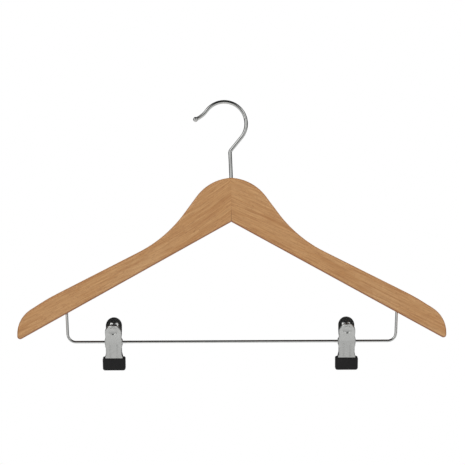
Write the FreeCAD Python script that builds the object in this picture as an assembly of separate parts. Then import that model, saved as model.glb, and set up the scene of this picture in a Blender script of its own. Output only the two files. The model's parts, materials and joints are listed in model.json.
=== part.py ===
import FreeCAD
import Part
import math
import os
from FreeCAD import Vector

# Wooden clothes hanger: two beech arms glued at the neck, a swivelling wire hook, a wire trouser bar and
# two spring clips that slide along the bar. Millimetres, +Z up, the front of the hanger faces -Y.
# The origin is the place inside the hook that rests on a rail.

# ---- Driving dimensions ----
HANGER_WIDTH = 445.0
WOOD_THICKNESS = 12.0
WOOD_EDGE_ROUND = 2.4
SEAT_TO_NECK = 77.1  # from the rail down to the top of the wood
NECK_HEIGHT = 45.8  # height of the wood where the two arms meet
UNDERSIDE_SLOPE = math.radians(28.92)
ARM_TIP_ROUND = 3.0

HOOK_WIRE_R = 1.875
HOOK_INNER_R = 20.9
SWIVEL_X = 6.9  # the shank stands a little to one side of the arc's centre
HOOK_SHANK_LEAN = math.radians(2.2)
HOOK_NECK_LEAN = math.radians(39.5)
HOOK_ARC_END = math.radians(141.0)
HOOK_BALL_R = 2.6
HOOK_THREAD_R = 1.75
HOOK_RUNNING_GAP = 0.075

BAR_R = 1.35
BAR_DROP = 124.3  # from the underside of the neck to the bar
BAR_HALF_SPAN = 170.1
BAR_CORNER_R = 8.5
BAR_LEG_LEAN = math.radians(2.5)
BAR_SOCKET_DEPTH = 14.0

SHEET = 0.8  # steel of the clip jaws
CLIPS = {"left": (-122.7, 14.5), "right": (119.3, 11.5)}  # place on the bar, and how far the top tips forward

# ---- Derived heights ----
NECK_TOP_Z = -SEAT_TO_NECK
APEX_Z = NECK_TOP_Z - NECK_HEIGHT
BAR_Z = APEX_Z - BAR_DROP
HALF_WIDTH = HANGER_WIDTH / 2


# ---- Helpers ----
def front_view(x, z):
    """A point of the hanger's middle plane. Pieces are drawn about the swivel axis and moved to SWIVEL_X last."""
    return Vector(x, 0, z)


def side_view(y, z):
    """A point of a clip's middle plane, seen from the side."""
    return Vector(0, y, z)


def rounded_path(points, radii, closed=False):
    """Edges of a polyline whose corners are arcs of the given radii. Radius 0 keeps a corner or an end sharp."""
    count = len(points)
    corners = []
    for i, (corner, radius) in enumerate(zip(points, radii)):
        if radius == 0:
            corners.append((corner, None, corner))
            continue
        back = (points[i - 1] - corner).normalize()
        ahead = (points[(i + 1) % count] - corner).normalize()
        half_angle = back.getAngle(ahead) / 2
        reach = radius / math.tan(half_angle)
        middle = corner + (back + ahead).normalize() * (radius / math.sin(half_angle) - radius)
        corners.append((corner + back * reach, middle, corner + ahead * reach))
    edges = []
    for i, (start, middle, end) in enumerate(corners):
        if middle is not None:
            edges.append(Part.Arc(start, middle, end).toShape())
        if closed or i + 1 < count:
            following = corners[(i + 1) % count][0]
            if (following - end).Length > 1e-6:
                edges.append(Part.makeLine(end, following))
    return edges


def face_of(edges):
    return Part.Face(Part.Wire(edges))


def prism(edges, direction, thickness):
    """The closed outline, drawn through the middle plane, as a solid of that thickness."""
    face = face_of(edges)
    face.translate(direction * (-thickness / 2))
    return face.extrude(direction * thickness)


def rod(edges, radius):
    """Round wire of that radius along the path."""
    spine = Part.Wire(edges)
    first = edges[0]
    start = first.valueAt(first.FirstParameter)
    heading = first.tangentAt(first.FirstParameter)
    section = Part.Wire([Part.makeCircle(radius, start, heading)])
    return spine.makePipeShell([section], True, True)


def box_between(low, high):
    size = high - low
    return Part.makeBox(size.x, size.y, size.z, low)


def cylinder_x(radius, half_length, centre=Vector(0, 0, 0)):
    return Part.makeCylinder(radius, 2 * half_length, centre - Vector(half_length, 0, 0), Vector(1, 0, 0))


def perimeter_edges(solid, facing):
    """Edges where a face that looks along facing meets one that stands square to it."""
    found = []
    for edge in solid.Edges:
        share = []
        for face in solid.ancestorsOfType(edge, Part.Face):
            u0, u1, v0, v1 = face.ParameterRange
            share.append(face.normalAt((u0 + u1) / 2, (v0 + v1) / 2).dot(facing))
        if len(share) == 2 and max(share) > 0.5 and abs(min(share, key=abs)) < 0.1:
            found.append(edge)
    return found


# ---- Wooden arms ----
def right_arm_blank():
    """Right half of the hanger with rounded edges, before any joinery. It ends on the joint plane x = 0."""
    overrun = 8.0
    slope = math.tan(UNDERSIDE_SLOPE)
    outline = [
        (front_view(-overrun, NECK_HEIGHT), 0),
        (front_view(21.6, NECK_HEIGHT), 48.0),
        (front_view(68.0, -16.8), 134.0),
        (front_view(190.0, -78.3), 200.0),
        (front_view(HALF_WIDTH, -99.0), 30.0),
        (front_view(HALF_WIDTH, -HALF_WIDTH * slope), ARM_TIP_ROUND),
        (front_view(-overrun, overrun * slope), 0),
    ]
    points, radii = zip(*outline)
    blank = prism(rounded_path(points, radii, closed=True), Vector(0, 1, 0), WOOD_THICKNESS)
    rounded = [e for e in perimeter_edges(blank, Vector(0, 1, 0)) if e.CenterOfMass.x > 0]
    rounded += [e for e in perimeter_edges(blank, Vector(0, -1, 0)) if e.CenterOfMass.x > 0]
    blank = blank.makeFillet(WOOD_EDGE_ROUND, rounded)
    blank = blank.cut(box_between(Vector(-50, -20, -60), Vector(0, 20, 60)))
    blank.translate(Vector(0, 0, APEX_Z))
    return blank


def make_arms(hook_hole, bar):
    """The two arms, tongued into each other at the neck. Each has one tongue and one groove, so they are alike."""
    tongue_length, tongue_in, tongue_out = 7.0, 2.6, 4.4
    right = right_arm_blank()
    left = right.mirror(Vector(0, 0, 0), Vector(1, 0, 0))
    z_low, z_high = APEX_Z - 10, NECK_TOP_Z + 10
    front_tongue = box_between(Vector(0, -tongue_out, z_low), Vector(tongue_length, -tongue_in, z_high))
    rear_tongue = box_between(Vector(-tongue_length, tongue_in, z_low), Vector(0, tongue_out, z_high))
    left_arm = left.cut(rear_tongue).fuse(right.common(front_tongue))
    right_arm = right.cut(front_tongue).fuse(left.common(rear_tongue))
    return [arm.cut(hook_hole).cut(bar).removeSplitter() for arm in (left_arm, right_arm)]


# ---- Hook and what holds it ----
WASHER_R, WASHER_T = 3.8, 0.6
NUT_FLATS, NUT_HEIGHT = 6.0, 2.8
RECESS_R = 4.0
SHOULDER_Z = APEX_Z + 13.0  # roof of the recess that holds the washer and nut
SEAT_GAP = 0.1
WASHER_Z = SHOULDER_Z - WASHER_T
NUT_Z = WASHER_Z - SEAT_GAP - NUT_HEIGHT
THREAD_END_Z = NUT_Z - 1.6


def polar(radius, angle):
    return front_view(radius * math.cos(angle), radius * math.sin(angle))


def make_hook():
    """Wire hook: threaded shank, a slight lean, a neck bend, the arc over the rail and a flicked-out end with a ball."""
    arc_r = HOOK_INNER_R + HOOK_WIRE_R
    centre = front_view(-SWIVEL_X, -HOOK_INNER_R)
    arc_start = centre + polar(arc_r, -HOOK_NECK_LEAN)
    arc_end = centre + polar(arc_r, HOOK_ARC_END)
    arc_middle = centre + polar(arc_r, (HOOK_ARC_END - HOOK_NECK_LEAN) / 2)
    foot = front_view(0, NECK_TOP_Z + 1.0)
    # The leaning shank and the neck meet where their lines cross.
    shank_way = Vector(-math.sin(HOOK_SHANK_LEAN), 0, math.cos(HOOK_SHANK_LEAN))
    neck_way = Vector(math.sin(HOOK_NECK_LEAN), 0, math.cos(HOOK_NECK_LEAN))
    gap = arc_start - foot
    cross = neck_way.x * shank_way.z - neck_way.z * shank_way.x
    reach = (neck_way.x * gap.z - neck_way.z * gap.x) / cross
    neck_corner = foot + shank_way * reach
    # Past the arc the wire runs straight, then bends outwards.
    tip_way = polar(1.0, HOOK_ARC_END + math.pi / 2)
    tip_straight, tip_bend_r, tip_turn, tip_end = 2.5, 26.0, math.radians(26.0), 1.4
    bend_start = arc_end + tip_way * tip_straight
    bend_centre = bend_start + polar(tip_bend_r, HOOK_ARC_END)
    bend_middle = bend_centre - polar(tip_bend_r, HOOK_ARC_END - tip_turn / 2)
    bend_end = bend_centre - polar(tip_bend_r, HOOK_ARC_END - tip_turn)
    ball_centre = bend_end + polar(tip_end, HOOK_ARC_END + math.pi / 2 - tip_turn)
    shank_start = front_view(0, WASHER_Z - SEAT_GAP)
    path = rounded_path([shank_start, foot, neck_corner, arc_start], [0, 25.0, 4.5, 0])
    path.append(Part.Arc(arc_start, arc_middle, arc_end).toShape())
    path.append(Part.makeLine(arc_end, bend_start))
    path.append(Part.Arc(bend_start, bend_middle, bend_end).toShape())
    path.append(Part.makeLine(bend_end, ball_centre))
    wire = rod(path, HOOK_WIRE_R)
    ball = Part.makeSphere(HOOK_BALL_R, ball_centre)
    thread = Part.makeCylinder(HOOK_THREAD_R, shank_start.z - THREAD_END_Z, Vector(0, 0, THREAD_END_Z))
    thread = thread.makeChamfer(0.4, [min(thread.Edges, key=lambda e: e.CenterOfMass.z)])
    return wire.fuse([ball, thread]).removeSplitter()


def hook_hole():
    """Hole for the shank with a recess under the neck for the washer and nut."""
    below = 20.0
    radius = HOOK_WIRE_R + HOOK_RUNNING_GAP
    hole = Part.makeCylinder(radius, NECK_TOP_Z + 5 - SHOULDER_Z, Vector(0, 0, SHOULDER_Z))
    recess = Part.makeCylinder(RECESS_R, SHOULDER_Z - APEX_Z + below, Vector(0, 0, APEX_Z - below))
    mouth_depth = 0.7
    mouth = Part.makeCone(radius, radius + mouth_depth, mouth_depth, Vector(0, 0, NECK_TOP_Z - mouth_depth))
    return hole.fuse([recess, mouth])


def make_washer():
    disc = Part.makeCylinder(WASHER_R, WASHER_T, Vector(0, 0, WASHER_Z))
    return disc.cut(Part.makeCylinder(HOOK_WIRE_R + 0.1, 4 * WASHER_T, Vector(0, 0, WASHER_Z - WASHER_T)))


def make_nut():
    """Hexagonal nut with its corners turned off, as a solid of revolution over the hexagon."""
    corner_r = NUT_FLATS / math.sqrt(3)
    corners = [Vector(*[corner_r * f(math.radians(60 * i)) for f in (math.cos, math.sin)], NUT_Z) for i in range(6)]
    hexagon = Part.Face(Part.makePolygon([*corners, corners[0]])).extrude(Vector(0, 0, NUT_HEIGHT))
    turned = Part.makeCylinder(corner_r, NUT_HEIGHT, Vector(0, 0, NUT_Z))
    turned = turned.makeChamfer(0.45, [e for e in turned.Edges if abs(e.Length - 2 * math.pi * corner_r) < 1e-6])
    thread = Part.makeCylinder(HOOK_THREAD_R, 3 * NUT_HEIGHT, Vector(0, 0, NUT_Z - NUT_HEIGHT))
    return hexagon.common(turned).cut(thread)


# ---- Trouser bar ----
def make_bar():
    """U-shaped wire whose two legs lean outwards into the arms."""
    socket_z = APEX_Z - BAR_HALF_SPAN * math.tan(UNDERSIDE_SLOPE) + BAR_SOCKET_DEPTH
    spread = (socket_z - BAR_Z) * math.tan(BAR_LEG_LEAN)
    top_x = BAR_HALF_SPAN + spread
    points = [
        front_view(-top_x, socket_z),
        front_view(-BAR_HALF_SPAN, BAR_Z),
        front_view(BAR_HALF_SPAN, BAR_Z),
        front_view(top_x, socket_z),
    ]
    return rod(rounded_path(points, [0, BAR_CORNER_R, BAR_CORNER_R, 0]), BAR_R)


# ---- Clips: each is made about the bar's axis with its jaws shut, outwards being +Y on the rear jaw ----
SLEEVE_BORE_R = 1.43
SLEEVE_R = 2.2
EAR_R = 3.6
REAR_HALF_WIDTH = 7.9
EAR_HALF_WIDTH = 8.8  # of the front jaw, whose ears straddle the rear jaw's
FOOT_Z = -29.3
FOOT_HALF_WIDTH = 10.2
WAIST_HALF_WIDTH = 8.2
TAB_HALF_WIDTH = 8.4
LOWER_LEAN = math.radians(5.0)
UPPER_LEAN = math.radians(16.5)
KNEE = side_view(5.0, 2.0)  # on the outer face, where the thumb tab starts to lean out
RIM_DEPTH = 2.2
DISH_UP_TAB = 13.0
DISH_R, DISH_DEPTH = 4.85, 1.6
PAD_TOP_Z, PAD_BOTTOM_Z = -16.7, -30.5
PAD_HALF_WIDTH = 11.8
PAD_GRIP_Y = 0.12
PAD_COVER = 1.0
FRONT_TAB_Z, REAR_TAB_Z = 21.3, 23.7


def lean_way(angle):
    return side_view(math.sin(angle), math.cos(angle))


def jaw_side_line(inset):
    """Side view of a jaw's outer face, moved inwards by inset, from past the foot over the knee to past the tab."""
    past_foot, tab_length = 12.0, 32.0
    foot = KNEE - lean_way(LOWER_LEAN) * ((KNEE.z - FOOT_Z) / math.cos(LOWER_LEAN) + past_foot)
    top = KNEE + lean_way(UPPER_LEAN) * tab_length
    leans = [LOWER_LEAN, LOWER_LEAN, UPPER_LEAN]
    nexts = [LOWER_LEAN, UPPER_LEAN, UPPER_LEAN]
    line = []
    for point, before, after in zip([foot, KNEE, top], leans, nexts):
        bisector = (before + after) / 2
        inwards = side_view(-math.cos(bisector), math.sin(bisector))
        line.append(point + inwards * (inset / math.cos((after - before) / 2)))
    return line


def behind(inset, depth):
    """Side-view region from a jaw's outer face, moved in by inset, to another line moved in by depth."""
    outer = jaw_side_line(inset)
    inner = jaw_side_line(depth)
    bend_r = 9.0
    radii = [0, bend_r + inset, 0, 0, bend_r + depth, 0]
    return rounded_path([*outer, *reversed(inner)], radii, closed=True)


def jaw_outline(tab_z, ear_half_width, inset):
    """Front view of a jaw: a wide foot, a waist, the ears and a round thumb tab."""
    waist = WAIST_HALF_WIDTH - inset
    tab = TAB_HALF_WIDTH - inset
    ear = ear_half_width - inset
    foot = FOOT_HALF_WIDTH - inset
    top_z = tab_z - inset
    right = [
        (foot, FOOT_Z + inset, 2.2),
        (foot, -18.9, 4.5),
        (waist, -11.6, 5.0),
        (waist, -5.8, 2.0),
        (ear, -4.0, 1.6),
        (ear, 4.4, 1.6),
        (waist, 6.6, 3.0),
        (tab, 11.0, 4.0),
        (tab, top_z, tab - 0.05),
    ]
    points = [front_view(x, z) for x, z, _ in right] + [front_view(-x, z) for x, z, _ in reversed(right)]
    radii = [r for _, _, r in right]
    return rounded_path(points, radii + radii[::-1], closed=True)


def ear_region():
    """Side view of an ear: a disc round the bar and the web that carries it from the jaw."""
    web = [side_view(0.2, -EAR_R), side_view(6.0, -4.6), side_view(6.0, 5.4), side_view(0.2, EAR_R)]
    return rounded_path(web, [0, 0, 0, 0], closed=True)


def make_jaw(tab_z, ear_half_width):
    """A pressed steel jaw: a plate with a rim round the tab, two ears, a thumb dish and two ribs."""
    wide = 40.0
    full = prism(jaw_outline(tab_z, ear_half_width, 0), Vector(0, 1, 0), 80)
    full = full.common(prism(behind(0, 30), Vector(1, 0, 0), wide))
    full = full.makeFillet(1.2, perimeter_edges(full, Vector(0, 1, 0)))
    hollow = prism(jaw_outline(tab_z, ear_half_width, SHEET), Vector(0, 1, 0), 80)
    hollow = hollow.common(prism(behind(SHEET, 31), Vector(1, 0, 0), wide))
    shell = full.cut(hollow)
    plate = prism(behind(-1, SHEET), Vector(1, 0, 0), wide)
    rim = prism(behind(-1, RIM_DEPTH), Vector(1, 0, 0), wide)
    rim = rim.common(box_between(Vector(-wide, -40, -13.5), Vector(wide, 60, 60)))
    web = prism(ear_region(), Vector(1, 0, 0), wide)
    keep = plate.fuse([rim, web, cylinder_x(EAR_R, wide / 2)])
    jaw = shell.common(keep).cut(cylinder_x(SLEEVE_R + 0.05, wide / 2))
    jaw = press_dish(jaw)
    return press_ribs(jaw).removeSplitter()


def dish_centre():
    """Where the thumb dish is, on the outer face of the tab."""
    return KNEE + lean_way(UPPER_LEAN) * DISH_UP_TAB


def press_dish(jaw):
    """A round thumb dish pressed inwards. The spring's leg bears on its domed back."""
    outwards = side_view(math.cos(UPPER_LEAN), -math.sin(UPPER_LEAN))
    dish_r = (DISH_R**2 + DISH_DEPTH**2) / (2 * DISH_DEPTH)
    centre = dish_centre() + outwards * (dish_r - DISH_DEPTH)
    drum_depth = DISH_DEPTH + SHEET + 0.2
    drum_base = dish_centre() - outwards * drum_depth
    drum = Part.makeCylinder(DISH_R + 1.2, drum_depth - 0.2, drum_base, outwards)
    back = Part.makeSphere(dish_r + SHEET, centre).common(drum)
    pressed = jaw.fuse(back).cut(Part.makeSphere(dish_r, centre))
    lip = [e for e in pressed.Edges if abs(e.Length - 2 * math.pi * DISH_R) < 0.05]
    return pressed.makeFillet(0.5, lip)


def press_ribs(jaw):
    """Two stiffening ribs down the lower half."""
    rib_x, rib_r, rib_height = 3.5, 0.8, 0.35
    top_down, bottom_down = 4.3, 17.0
    outwards = side_view(math.cos(LOWER_LEAN), -math.sin(LOWER_LEAN))
    sunk = outwards * (rib_height - rib_r)
    for x in (-rib_x, rib_x):
        top = KNEE - lean_way(LOWER_LEAN) * top_down + sunk + Vector(x, 0, 0)
        bottom = KNEE - lean_way(LOWER_LEAN) * bottom_down + sunk + Vector(x, 0, 0)
        way = (bottom - top).normalize()
        bar = Part.makeCylinder(rib_r, bottom_down - top_down, top, way)
        bar = bar.fuse([Part.makeSphere(rib_r, top), Part.makeSphere(rib_r, bottom)])
        jaw = jaw.fuse(bar)
    return jaw


def make_pad(jaw):
    """Rubber cap moulded over a jaw's foot, with a ribbed grip face."""
    outline = [
        front_view(PAD_HALF_WIDTH, PAD_BOTTOM_Z),
        front_view(PAD_HALF_WIDTH, PAD_TOP_Z),
        front_view(-PAD_HALF_WIDTH, PAD_TOP_Z),
        front_view(-PAD_HALF_WIDTH, PAD_BOTTOM_Z),
    ]
    block = prism(rounded_path(outline, [2.4, 1.8, 1.8, 2.4], closed=True), Vector(0, 1, 0), 60)
    block = block.common(prism(behind(-PAD_COVER, 30), Vector(1, 0, 0), 60))
    block = block.cut(box_between(Vector(-60, -60, -60), Vector(60, PAD_GRIP_Y, 60)))
    block = block.makeFillet(1.4, perimeter_edges(block, Vector(0, 1, 0)))
    block = block.makeFillet(0.5, perimeter_edges(block, Vector(0, -1, 0)))
    groove_r, groove_step, groove_depth = 0.6, 1.9, 0.4
    z = PAD_BOTTOM_Z + 2.2
    while z < PAD_TOP_Z - 1.5:
        centre = Vector(0, PAD_GRIP_Y - groove_r + groove_depth, z)
        block = block.cut(cylinder_x(groove_r, PAD_HALF_WIDTH - 1.6, centre))
        z += groove_step
    return block.cut(jaw)


def make_spring():
    """Spring strip: a loop under the sleeve and two legs that push the thumb tabs apart."""
    width, thick, loop_r, leg_top = 8.0, 0.5, 2.85, 17.6
    dome = dish_centre() - side_view(math.cos(UPPER_LEAN), -math.sin(UPPER_LEAN)) * (DISH_DEPTH + SHEET)
    touch = dome - Vector(0, 0.1 + thick / 2, 0)
    # Tangent from the point that bears on the dome to the loop.
    distance = touch.Length
    start_angle = math.atan2(touch.z, touch.y) - math.acos(loop_r / distance)
    tangent = side_view(math.cos(start_angle), math.sin(start_angle)) * loop_r
    leg_way = (touch - tangent).normalize()
    end = tangent + leg_way * ((leg_top - tangent.z) / leg_way.z)
    mirrored = [side_view(-p.y, p.z) for p in (tangent, end)]
    spine = [
        Part.makeLine(end, tangent),
        Part.Arc(tangent, side_view(0, -loop_r), mirrored[0]).toShape(),
        Part.makeLine(mirrored[0], mirrored[1]),
    ]
    across = Vector(1, 0, 0)
    side = leg_way.cross(across).normalize()
    corners = [end + across * (s * width / 2) + side * (t * thick / 2) for s, t in ((-1, -1), (1, -1), (1, 1), (-1, 1))]
    section = Part.makePolygon([*corners, corners[0]])
    strip = Part.Wire(spine).makePipeShell([section], True, True)
    return strip


def make_sleeve():
    """Hollow rivet that carries the jaws and slides on the bar, rolled over outside the ears."""
    ear_gap, roll = 0.05, 0.35
    half = EAR_HALF_WIDTH + ear_gap
    tube = cylinder_x(SLEEVE_R, half + roll)
    for side in (-1, 1):
        middle = side * (half + roll / 2)
        flange = cylinder_x(SLEEVE_R + 0.8, roll / 2, Vector(middle, 0, 0))
        tube = tube.fuse(flange)
    return tube.cut(cylinder_x(SLEEVE_BORE_R, 2 * half)).removeSplitter()


def make_clip():
    """The six pieces of one clip, upright and shut, about the bar's axis."""
    rear_jaw = make_jaw(REAR_TAB_Z, REAR_HALF_WIDTH)
    front_jaw = make_jaw(FRONT_TAB_Z, EAR_HALF_WIDTH)
    pieces = {"rear_jaw": rear_jaw, "rear_pad": make_pad(rear_jaw)}
    for name, piece in (("front_jaw", front_jaw), ("front_pad", make_pad(front_jaw))):
        pieces[name] = piece.mirror(Vector(0, 0, 0), Vector(0, 1, 0))
    pieces["spring"] = make_spring()
    pieces["pivot_sleeve"] = make_sleeve()
    return pieces


def place_clip(piece, clip_x, tilt):
    placed = piece.copy()
    placed.rotate(Vector(0, 0, 0), Vector(1, 0, 0), tilt)
    placed.translate(Vector(clip_x, 0, BAR_Z))
    return placed


def make_all():
    bar = make_bar()
    left_arm, right_arm = make_arms(hook_hole(), bar)
    nodes = {
        "left_arm": left_arm,
        "right_arm": right_arm,
        "hook": make_hook(),
        "hook_washer": make_washer(),
        "hook_nut": make_nut(),
        "trouser_bar": bar,
    }
    for side, (clip_x, tilt) in CLIPS.items():
        for name, piece in make_clip().items():
            nodes[f"{side}_{name}"] = place_clip(piece, clip_x, tilt)
    for piece in nodes.values():
        piece.translate(Vector(SWIVEL_X, 0, 0))
    return nodes


os.makedirs("parts", exist_ok=True)
for node, shape in make_all().items():
    shape.exportStep(f"parts/{node}.step")
    box = shape.BoundBox
    print(
        f"{node:20s} solids {len(shape.Solids)} valid {shape.isValid()} volume {shape.Volume:9.1f} "
        f"x {box.XMin:7.1f} {box.XMax:7.1f} y {box.YMin:6.1f} {box.YMax:6.1f} z {box.ZMin:7.1f} {box.ZMax:7.1f}"
    )
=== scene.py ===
import json
import math

import bmesh
import bpy
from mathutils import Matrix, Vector


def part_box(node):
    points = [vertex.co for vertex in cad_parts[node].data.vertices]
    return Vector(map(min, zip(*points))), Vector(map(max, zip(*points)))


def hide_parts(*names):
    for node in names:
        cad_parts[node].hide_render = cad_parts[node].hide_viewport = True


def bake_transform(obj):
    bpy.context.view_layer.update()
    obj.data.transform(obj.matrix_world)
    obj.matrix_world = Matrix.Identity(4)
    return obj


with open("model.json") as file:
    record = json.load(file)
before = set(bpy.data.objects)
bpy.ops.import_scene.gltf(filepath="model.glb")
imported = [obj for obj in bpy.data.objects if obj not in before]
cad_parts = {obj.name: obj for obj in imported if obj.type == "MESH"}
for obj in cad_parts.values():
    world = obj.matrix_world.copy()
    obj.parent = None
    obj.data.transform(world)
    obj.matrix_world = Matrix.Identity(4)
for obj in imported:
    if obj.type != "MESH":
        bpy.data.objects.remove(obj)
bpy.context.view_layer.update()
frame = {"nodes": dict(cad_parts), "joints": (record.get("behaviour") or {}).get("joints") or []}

# ---- Places on the hanger, in metres in the shared frame ----
nut_low, nut_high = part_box("hook_nut")
SWIVEL_X = (nut_low.x + nut_high.x) / 2
NECK_HEIGHT = 0.0458
NECK_TOP_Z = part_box("left_arm")[1].z
APEX_Z = NECK_TOP_Z - NECK_HEIGHT
UNDERSIDE_SLOPE = math.radians(28.92)
GRAIN_SLOPE = UNDERSIDE_SLOPE * 0.93  # the grain runs a little flatter than the underside


# ---- Node-material helpers ----
class Nodes:
    """Builds the node tree of a material or a world."""

    def __init__(self, owner):
        owner.use_nodes = True
        self.owner = owner
        self.tree = owner.node_tree
        self.shader = self.tree.nodes.get("Principled BSDF")

    def add(self, kind, **settings):
        node = self.tree.nodes.new(kind)
        for key, value in settings.items():
            setattr(node, key, value)
        return node

    def link(self, source, target):
        self.tree.links.new(source, target)

    def math(self, operation, first, second=None, clamp=False):
        node = self.add("ShaderNodeMath", operation=operation, use_clamp=clamp)
        for socket, value in zip(node.inputs, (first, second)):
            self.feed(socket, value)
        return node.outputs[0]

    def feed(self, socket, value):
        if isinstance(value, bpy.types.NodeSocket):
            self.link(value, socket)
        elif value is not None:
            socket.default_value = value

    def parts(self, output):
        """X, Y and Z of a texture-coordinate output."""
        coords = self.add("ShaderNodeTexCoord")
        split = self.add("ShaderNodeSeparateXYZ")
        self.link(coords.outputs[output], split.inputs[0])
        return split.outputs["X"], split.outputs["Y"], split.outputs["Z"]

    def place(self, rotation=(0, 0, 0), scale=(1, 1, 1), location=(0, 0, 0), source=None):
        """Object coordinates, or another vector, turned first, then stretched."""
        if source is None:
            source = self.add("ShaderNodeTexCoord").outputs["Object"]
        turn = self.add("ShaderNodeMapping")
        turn.inputs["Location"].default_value = location
        turn.inputs["Rotation"].default_value = rotation
        self.link(source, turn.inputs["Vector"])
        stretch = self.add("ShaderNodeVectorMath", operation="MULTIPLY")
        stretch.inputs[1].default_value = scale
        self.link(turn.outputs[0], stretch.inputs[0])
        return stretch.outputs[0]

    def noise(self, vector, scale, detail=3.0, roughness=0.5, distortion=0.0):
        node = self.add("ShaderNodeTexNoise")
        node.inputs["Scale"].default_value = scale
        node.inputs["Detail"].default_value = detail
        node.inputs["Roughness"].default_value = roughness
        node.inputs["Distortion"].default_value = distortion
        self.link(vector, node.inputs["Vector"])
        return node.outputs["Fac"]

    def ramp(self, value, *stops):
        """A colour ramp. Each stop is a position and a colour or a grey level."""
        node = self.add("ShaderNodeValToRGB")
        elements = node.color_ramp.elements
        while len(elements) < len(stops):
            elements.new(0.5)
        for element, (position, colour) in zip(elements, stops):
            element.position = position
            element.color = (colour, colour, colour, 1) if isinstance(colour, float) else (*colour, 1)
        self.link(value, node.inputs["Fac"])
        return node.outputs["Color"]

    def mix(self, factor, first, second):
        node = self.add("ShaderNodeMix", data_type="RGBA")
        self.feed(node.inputs[0], factor)
        for socket, value in ((node.inputs[6], first), (node.inputs[7], second)):
            self.feed(socket, (*value, 1) if isinstance(value, tuple) and len(value) == 3 else value)
        return node.outputs[2]

    def bump(self, height, strength, distance):
        node = self.add("ShaderNodeBump")
        node.inputs["Strength"].default_value = strength
        node.inputs["Distance"].default_value = distance
        self.link(height, node.inputs["Height"])
        self.link(node.outputs[0], self.shader.inputs["Normal"])

    def edges(self, low, high):
        """A mask of the rims that hands and rails wear: 1 on sharp outward edges."""
        geometry = self.add("ShaderNodeNewGeometry")
        return self.ramp(geometry.outputs["Pointiness"], (low, 0.0), (high, 1.0))

    def set(self, **values):
        names = {"base": "Base Color", "rough": "Roughness", "metal": "Metallic", "coat": "Coat Weight",
                 "coat_rough": "Coat Roughness", "specular": "Specular IOR Level"}
        for key, value in values.items():
            self.feed(self.shader.inputs[names[key]], (*value, 1) if isinstance(value, tuple) else value)
        return self.owner


def srgb(red, green, blue):
    """Linear colour from display values out of 255."""
    shares = (value / 255 for value in (red, green, blue))
    return tuple(((v + 0.055) / 1.055) ** 2.4 if v > 0.04 else v / 12.92 for v in shares)


# ---- Materials ----
def bent_grain(n, bend):
    """Object coordinates whose height slips near the joint, which turns the grain there."""
    reach = 0.085  # from the joint to where the grain runs straight
    x, y, z = n.parts("Object")
    away = n.math("ABSOLUTE", n.math("SUBTRACT", x, SWIVEL_X))
    near = n.math("SUBTRACT", 1.0, n.math("DIVIDE", away, reach), clamp=True)
    slip = n.math("MULTIPLY", n.math("MULTIPLY", near, near), bend)
    joined = n.add("ShaderNodeCombineXYZ")
    for socket, value in zip(joined.inputs, (x, y, n.math("SUBTRACT", z, slip))):
        n.link(value, socket)
    return joined.outputs[0]


def beech(name, side, offset, bend):
    """Lacquered beech whose grain runs along the arm: side is -1 for the left arm, 1 for the right."""
    n = Nodes(bpy.data.materials.new(name))
    turn = (0, -side * GRAIN_SLOPE, 0)
    bent = bent_grain(n, bend)

    def streaks(scale, *noise, **detail):
        return n.noise(n.place(rotation=turn, location=offset, scale=scale, source=bent), *noise, **detail)

    broad = streaks((1.6, 9.0, 9.0), 4.5, detail=1.0, roughness=0.45, distortion=0.4)
    band = streaks((2.3, 12.0, 34.0), 11.0, detail=1.5, roughness=0.45, distortion=1.0)
    ring = streaks((0.8, 10.0, 19.0), 17.0, detail=3.5, roughness=0.55, distortion=0.35)
    fine = streaks((4.5, 60.0, 95.0), 12.0, detail=3.0, roughness=0.6)
    fleck = streaks((26.0, 80.0, 150.0), 13.0, detail=1.0, roughness=0.4)
    tones = (0.30, srgb(204, 155, 103)), (0.52, srgb(208, 160, 108)), (0.72, srgb(211, 166, 116))
    base = n.ramp(broad, *tones)
    base = n.mix(n.ramp(band, (0.34, 0.52), (0.50, 0.0)), base, srgb(182, 128, 76))
    base = n.mix(n.ramp(band, (0.55, 0.0), (0.68, 0.50)), base, srgb(216, 171, 118))
    rings = n.ramp(ring, (0.34, 0.55), (0.48, 0.0), (0.62, 0.0), (0.74, 0.35))
    base = n.mix(rings, base, srgb(174, 118, 68))
    base = n.mix(n.ramp(fine, (0.35, 0.42), (0.62, 0.0)), base, srgb(158, 106, 64))
    flecks = n.ramp(fleck, (0.62, 0.0), (0.70, 0.5))
    base = n.mix(flecks, base, srgb(150, 98, 60))
    # Painted shade: the rounded edges are darkened, most of all on the underside.
    _, normal_y, normal_z = n.parts("Normal")
    edge_shade = n.ramp(n.math("ABSOLUTE", normal_y), (0.05, 0.3), (0.3, 1.0), (0.75, 1.0), (0.985, 0.0))
    underside_shade = n.ramp(n.math("ADD", n.math("MULTIPLY", normal_z, -0.5), 0.5), (0.40, 0.28), (0.70, 0.95))
    base = n.mix(n.math("MULTIPLY", edge_shade, underside_shade), base, srgb(150, 86, 38))
    # Glue line: a thin seam, darkest in the lower part of the joint.
    x, _, z = n.parts("Object")
    away = n.math("ABSOLUTE", n.math("SUBTRACT", x, SWIVEL_X))
    near = n.ramp(n.math("MULTIPLY", away, 1000.0), (0.10, 1.0), (0.34, 0.0))
    height = n.math("DIVIDE", n.math("SUBTRACT", z, APEX_Z), NECK_HEIGHT)
    seam = n.ramp(height, (0.20, 0.85), (0.36, 0.12), (0.95, 0.08))
    base = n.mix(n.math("MULTIPLY", near, seam), base, srgb(112, 66, 38))
    rough = n.ramp(fine, (0.3, 0.46), (0.7, 0.36))
    n.bump(n.math("SUBTRACT", n.math("MULTIPLY", fine, 0.6), flecks), 0.35, 0.00006)
    return n.set(base=base, rough=rough, coat=0.18, coat_rough=0.32)


JAW_TINT = (0.56, 0.565, 0.55)
SATIN_ROUGHNESS = 0.11


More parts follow.
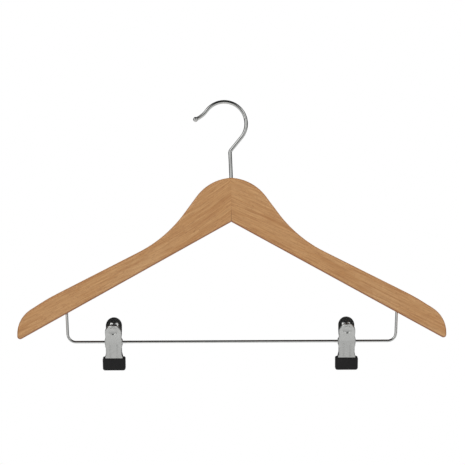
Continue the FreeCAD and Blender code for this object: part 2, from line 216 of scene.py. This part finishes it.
def bright_metal(name, tint, rough_low, rough_high, scale, drawn=(1, 1, 1), bump=0.0, satin_side=0):
    """Plated steel with faint cloudy polish, hairline marks and worn edges. A satin_side of 1 or -1 makes
    the faces that look along +Y or -Y duller than the rest."""
    n = Nodes(bpy.data.materials.new(name))
    plain = n.place()
    cloud = n.noise(plain, 140.0, detail=2.0)
    hair = n.noise(n.place(scale=drawn), scale, detail=2.0, roughness=0.7)
    worn = n.edges(0.52, 0.60)
    base = n.ramp(cloud, (0.3, tuple(v * 0.94 for v in tint)), (0.7, tint))
    base = n.mix(n.math("MULTIPLY", worn, 0.35), base, tuple(min(1.0, v * 1.12) for v in tint))
    mixed = n.math("ADD", n.math("MULTIPLY", cloud, 0.5), n.math("MULTIPLY", hair, 0.5))
    rough = n.ramp(mixed, (0.35, rough_low), (0.65, rough_high))
    if satin_side:
        _, facing, _ = n.parts("Normal")
        outer = n.ramp(n.math("MULTIPLY", facing, float(satin_side)), (0.15, 0.0), (0.45, SATIN_ROUGHNESS))
        rough = n.math("ADD", rough, outer)
    if bump:
        n.bump(hair, bump, 0.00002)
    return n.set(base=base, rough=rough, metal=1.0)


def rubber(name):
    n = Nodes(bpy.data.materials.new(name))
    grain = n.noise(n.place(), 2600.0, detail=2.0, roughness=0.6)
    dust = n.noise(n.place(), 210.0, detail=4.0, roughness=0.65)
    base = n.ramp(dust, (0.35, srgb(17, 16, 17)), (0.7, srgb(24, 23, 24)))
    base = n.mix(n.math("MULTIPLY", n.edges(0.53, 0.62), 0.4), base, srgb(52, 51, 52))
    rough = n.ramp(dust, (0.3, 0.52), (0.7, 0.68))
    n.bump(grain, 0.25, 0.00008)
    return n.set(base=base, rough=rough, specular=0.3)


left_wood = beech("beech_left", -1, (-0.31, 0.72, 0.21), 0.010)
right_wood = beech("beech_right", 1, (-0.17, 0.35, 0.3), -0.003)
wire = bright_metal("chromed_wire", (0.60, 0.605, 0.59), 0.03, 0.07, scale=700.0)
front_jaw, rear_jaw = (
    bright_metal(name, JAW_TINT, 0.10, 0.18, scale=1100.0, drawn=(1, 1, 0.12), bump=0.15, satin_side=side)
    for name, side in (("front_jaw_steel", -1), ("rear_jaw_steel", 1))
)
spring_steel = bright_metal(
    "spring_strip", (0.52, 0.53, 0.56), 0.24, 0.36, scale=1500.0, drawn=(0.1, 1, 1), bump=0.1
)
zinc = bright_metal("zinc_steel", (0.70, 0.71, 0.72), 0.28, 0.40, scale=1200.0)
black = rubber("black_rubber")


def material_of(node):
    if node.endswith("arm"):
        return left_wood if node.startswith("left") else right_wood
    if node in ("hook", "trouser_bar"):
        return wire
    if node.endswith("jaw"):
        return front_jaw if "front" in node else rear_jaw
    if node.endswith("pad"):
        return black
    return spring_steel if node.endswith("spring") else zinc


for node, obj in frame["nodes"].items():
    obj.data.materials.clear()
    obj.data.materials.append(material_of(node))


# ---- Springs, in millimetres: a bent strip with turned-in ends ----
MM = 0.001
SPRING_LOOP_R, SPRING_THICK, SPRING_WIDTH, SPRING_TIP_WIDTH = 2.85, 0.5, 8.0, 5.6
SPRING_TOUCH = Vector((6.04, 15.15))  # where a leg bears on the jaw, out from the clip's middle and up
SPRING_PAST_TOUCH = 0.7
SPRING_CURL_R, SPRING_CURL_TURN = 1.6, math.radians(75)
LOOP_STEPS, LEG_STEPS, CURL_STEPS, CORNER_STEPS = 18, 8, 8, 3


def clip_axes(side):
    """A clip's pivot, its rearward and its upward direction. Its pads lie evenly about its middle plane."""
    joint = next(j for j in frame["joints"] if j["name"] == f"{side}_clip_open")
    pivot = Vector(joint["pos_m"])
    points = [v.co for end in ("front", "rear") for v in frame["nodes"][f"{side}_{end}_pad"].data.vertices]
    down = sum(points, Vector()) / len(points) - pivot
    down.x = 0
    up = -down.normalized()
    return pivot, up.cross(Vector((1, 0, 0))), up


def spring_leg():
    """Half of the strip's middle line: from the bottom of the loop round and up the rear leg."""
    distance, angle = SPRING_TOUCH.length, math.atan2(SPRING_TOUCH.y, SPRING_TOUCH.x)
    leave = angle - math.acos(SPRING_LOOP_R / distance)
    line = []
    for i in range(LOOP_STEPS + 1):
        turn = -math.pi / 2 + (leave + math.pi / 2) * i / LOOP_STEPS
        line.append(Vector((math.cos(turn), math.sin(turn))) * SPRING_LOOP_R)
    foot = line[-1]
    way = (SPRING_TOUCH - foot).normalized()
    line += [foot.lerp(SPRING_TOUCH, i / LEG_STEPS) for i in range(1, LEG_STEPS + 1)]
    top = SPRING_TOUCH + way * SPRING_PAST_TOUCH
    inwards = Vector((-way.y, way.x))
    for i in range(CURL_STEPS + 1):
        turn = SPRING_CURL_TURN * i / CURL_STEPS
        curl = way * math.sin(turn) + inwards * (1 - math.cos(turn))
        line.append(top + curl * SPRING_CURL_R)
    return line


def strip_section(width, thick):
    """Outline of the strip's section with eased corners, as places across and through the strip."""
    ease = thick * 0.42
    outline = []
    for quarter, (sx, sy) in enumerate(((1, 1), (-1, 1), (-1, -1), (1, -1))):
        for step in range(CORNER_STEPS + 1):
            turn = math.pi / 2 * (quarter + step / CORNER_STEPS)
            centre = Vector((sx * (width / 2 - ease), sy * (thick / 2 - ease)))
            outline.append(centre + Vector((math.cos(turn), math.sin(turn))) * ease)
    return outline


def strip_mesh(name, pivot, rear, up):
    """The strip's section swept along its middle line, narrower towards both ends."""
    leg = spring_leg()
    line = [Vector((-p.x, p.y)) for p in reversed(leg[1:])] + leg
    across = Vector((1, 0, 0))
    bm = bmesh.new()
    rings = []
    for i, point in enumerate(line):
        before, after = line[max(i - 1, 0)], line[min(i + 1, len(line) - 1)]
        way = (after - before).normalized()
        out = rear * way.y - up * way.x
        end_share = abs(i / (len(line) - 1) * 2 - 1)
        width = SPRING_WIDTH - (SPRING_WIDTH - SPRING_TIP_WIDTH) * end_share**3
        middle_point = pivot + (rear * point.x + up * point.y) * MM
        section = strip_section(width, SPRING_THICK)
        rings.append([bm.verts.new(middle_point + (across * q.x + out * q.y) * MM) for q in section])
    for first, second in zip(rings, rings[1:]):
        for k in range(len(first)):
            j = (k + 1) % len(first)
            bm.faces.new((first[k], first[j], second[j], second[k]))
    bm.faces.new(rings[0])
    bm.faces.new(reversed(rings[-1]))
    bmesh.ops.recalc_face_normals(bm, faces=bm.faces)
    mesh = bpy.data.meshes.new(name)
    bm.to_mesh(mesh)
    bm.free()
    for face in mesh.polygons:
        face.use_smooth = True
    return mesh


def make_spring(side):
    pivot, rear, up = clip_axes(side)
    name = f"{side}_spring_strip"
    mesh = strip_mesh(name, pivot, rear, up)
    mesh.materials.append(spring_steel)
    spring = bpy.data.objects.new(name, mesh)
    bpy.context.collection.objects.link(spring)
    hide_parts(f"{side}_spring")
    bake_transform(spring)


for side in ("left", "right"):
    make_spring(side)


# ---- Stage, light and camera ----
TENT = 0.54  # brightness of the room as matt surfaces see it
PANEL_LEFT, PANEL_RIGHT = 0.75, 0.55  # half the brightness of the two panels as metal sees them
PANEL_BEHIND = 0.2  # how bright the panels behind are, as a share of those in front
LAMP_ROUND, LAMP_RISE, LAMP_POWER = 45, 30, 11  # degrees to the side, degrees up, watts
FLOOR_RADIUS, FLOOR_Z = 8.0, -1.6


def lay_floor():
    """A plain pale floor, a rail's height below the hook."""
    bm = bmesh.new()
    bmesh.ops.create_circle(bm, cap_ends=True, segments=96, radius=FLOOR_RADIUS)
    mesh = bpy.data.meshes.new("floor")
    bm.to_mesh(mesh)
    bm.free()
    floor = bpy.data.objects.new("floor", mesh)
    floor.location = (0, 0, FLOOR_Z)
    bpy.context.collection.objects.link(floor)
    n = Nodes(bpy.data.materials.new("pale_floor"))
    tone = n.ramp(n.noise(n.place(), 3.0), (0.3, 0.88), (0.7, 0.93))
    seen = n.add("ShaderNodeLightPath").outputs["Is Camera Ray"]
    n.link(n.math("ADD", 0.06, n.math("MULTIPLY", seen, 0.24)), n.shader.inputs["Emission Strength"])
    n.shader.inputs["Emission Color"].default_value = (1, 1, 1, 1)
    mesh.materials.append(n.set(base=tone, rough=0.9))


def softbox(name, aim, azimuth, elevation, power):
    """A soft lamp that looks at the aim point from that many degrees round from the front, and up."""
    turn, rise, distance = math.radians(azimuth), math.radians(elevation), 2.2
    away = Vector((math.sin(turn) * math.cos(rise), -math.cos(turn) * math.cos(rise), math.sin(rise)))
    data = bpy.data.lights.new(name, "AREA")
    data.shape = "RECTANGLE"
    data.size, data.size_y = 1.0, 1.0
    data.energy = power
    lamp = bpy.data.objects.new(name, data)
    lamp.location = aim + away * distance
    lamp.rotation_euler = (-away).to_track_quat("-Z", "Y").to_euler()
    lamp.visible_camera = False
    lamp.visible_glossy = False
    bpy.context.collection.objects.link(lamp)


def place_lamps():
    """Soft lamps in front and behind, one to each side."""
    aim = Vector((SWIVEL_X, 0, -0.14))
    for name, facing in (("front", 0), ("back", 180)):
        for side in (-1, 1):
            softbox(f"{name}_lamp_{side}", aim, facing + side * LAMP_ROUND, LAMP_RISE, LAMP_POWER)


def surround():
    """An even tent for matt surfaces. Polished metal sees a dark room with tall, soft-edged panels left
    and right, dimmer ones behind, and the pale floor below."""
    world = bpy.data.worlds.new("studio")
    n = Nodes(world)
    background = n.tree.nodes["Background"]
    coords = n.add("ShaderNodeTexCoord")
    split = n.add("ShaderNodeSeparateXYZ")
    n.link(coords.outputs["Generated"], split.inputs[0])
    # Sideways part of the direction: 0 straight ahead or behind, 1 square to the side.
    sideways = n.math("ABSOLUTE", split.outputs["X"])
    panels = n.ramp(sideways, (0.24, 0.0), (0.34, 1.0), (0.74, 1.0), (0.84, 0.0))
    raised = n.math("ADD", split.outputs["Z"], 0.3)
    heights = n.ramp(raised, (0.06, 0.0), (0.16, 1.0), (0.86, 1.0), (1.0, 0.0))
    lefts = n.ramp(n.math("ADD", split.outputs["X"], 0.5), (0.45, PANEL_LEFT), (0.55, PANEL_RIGHT))
    fronts = n.ramp(n.math("ADD", split.outputs["Y"], 0.5), (0.45, 1.0), (0.55, PANEL_BEHIND))
    panel = n.math("MULTIPLY", n.math("MULTIPLY", panels, heights), n.math("MULTIPLY", lefts, fronts))
    room = n.math("ADD", 0.03, n.math("MULTIPLY", panel, 2.0))
    rays = n.add("ShaderNodeLightPath")
    tent = n.mix(rays.outputs["Is Glossy Ray"], (TENT, TENT, TENT), room)
    n.link(n.mix(rays.outputs["Is Camera Ray"], tent, (1.0, 1.0, 1.0)), background.inputs["Color"])
    background.inputs["Strength"].default_value = 1.0
    bpy.context.scene.world = world
    bpy.context.scene.view_settings.view_transform = "Standard"


def aim_camera():
    """Long lens straight in front of the hanger, aimed at the middle of its height."""
    distance, width_seen, sensor_width = 1.75, 0.4833, 36.0
    right_of_swivel, below_apex, roll = 0.0012, 0.0110, math.radians(0.25)
    data = bpy.data.cameras.new("front")
    data.sensor_width = sensor_width
    data.lens = sensor_width * distance / width_seen
    data.clip_start = 0.05
    camera = bpy.data.objects.new("front", data)
    camera.location = (SWIVEL_X + right_of_swivel, -distance, APEX_Z - below_apex)
    camera.rotation_euler = (math.radians(90), roll, 0)
    bpy.context.collection.objects.link(camera)
    bpy.context.scene.camera = camera


lay_floor()
place_lamps()
surround()
aim_camera()
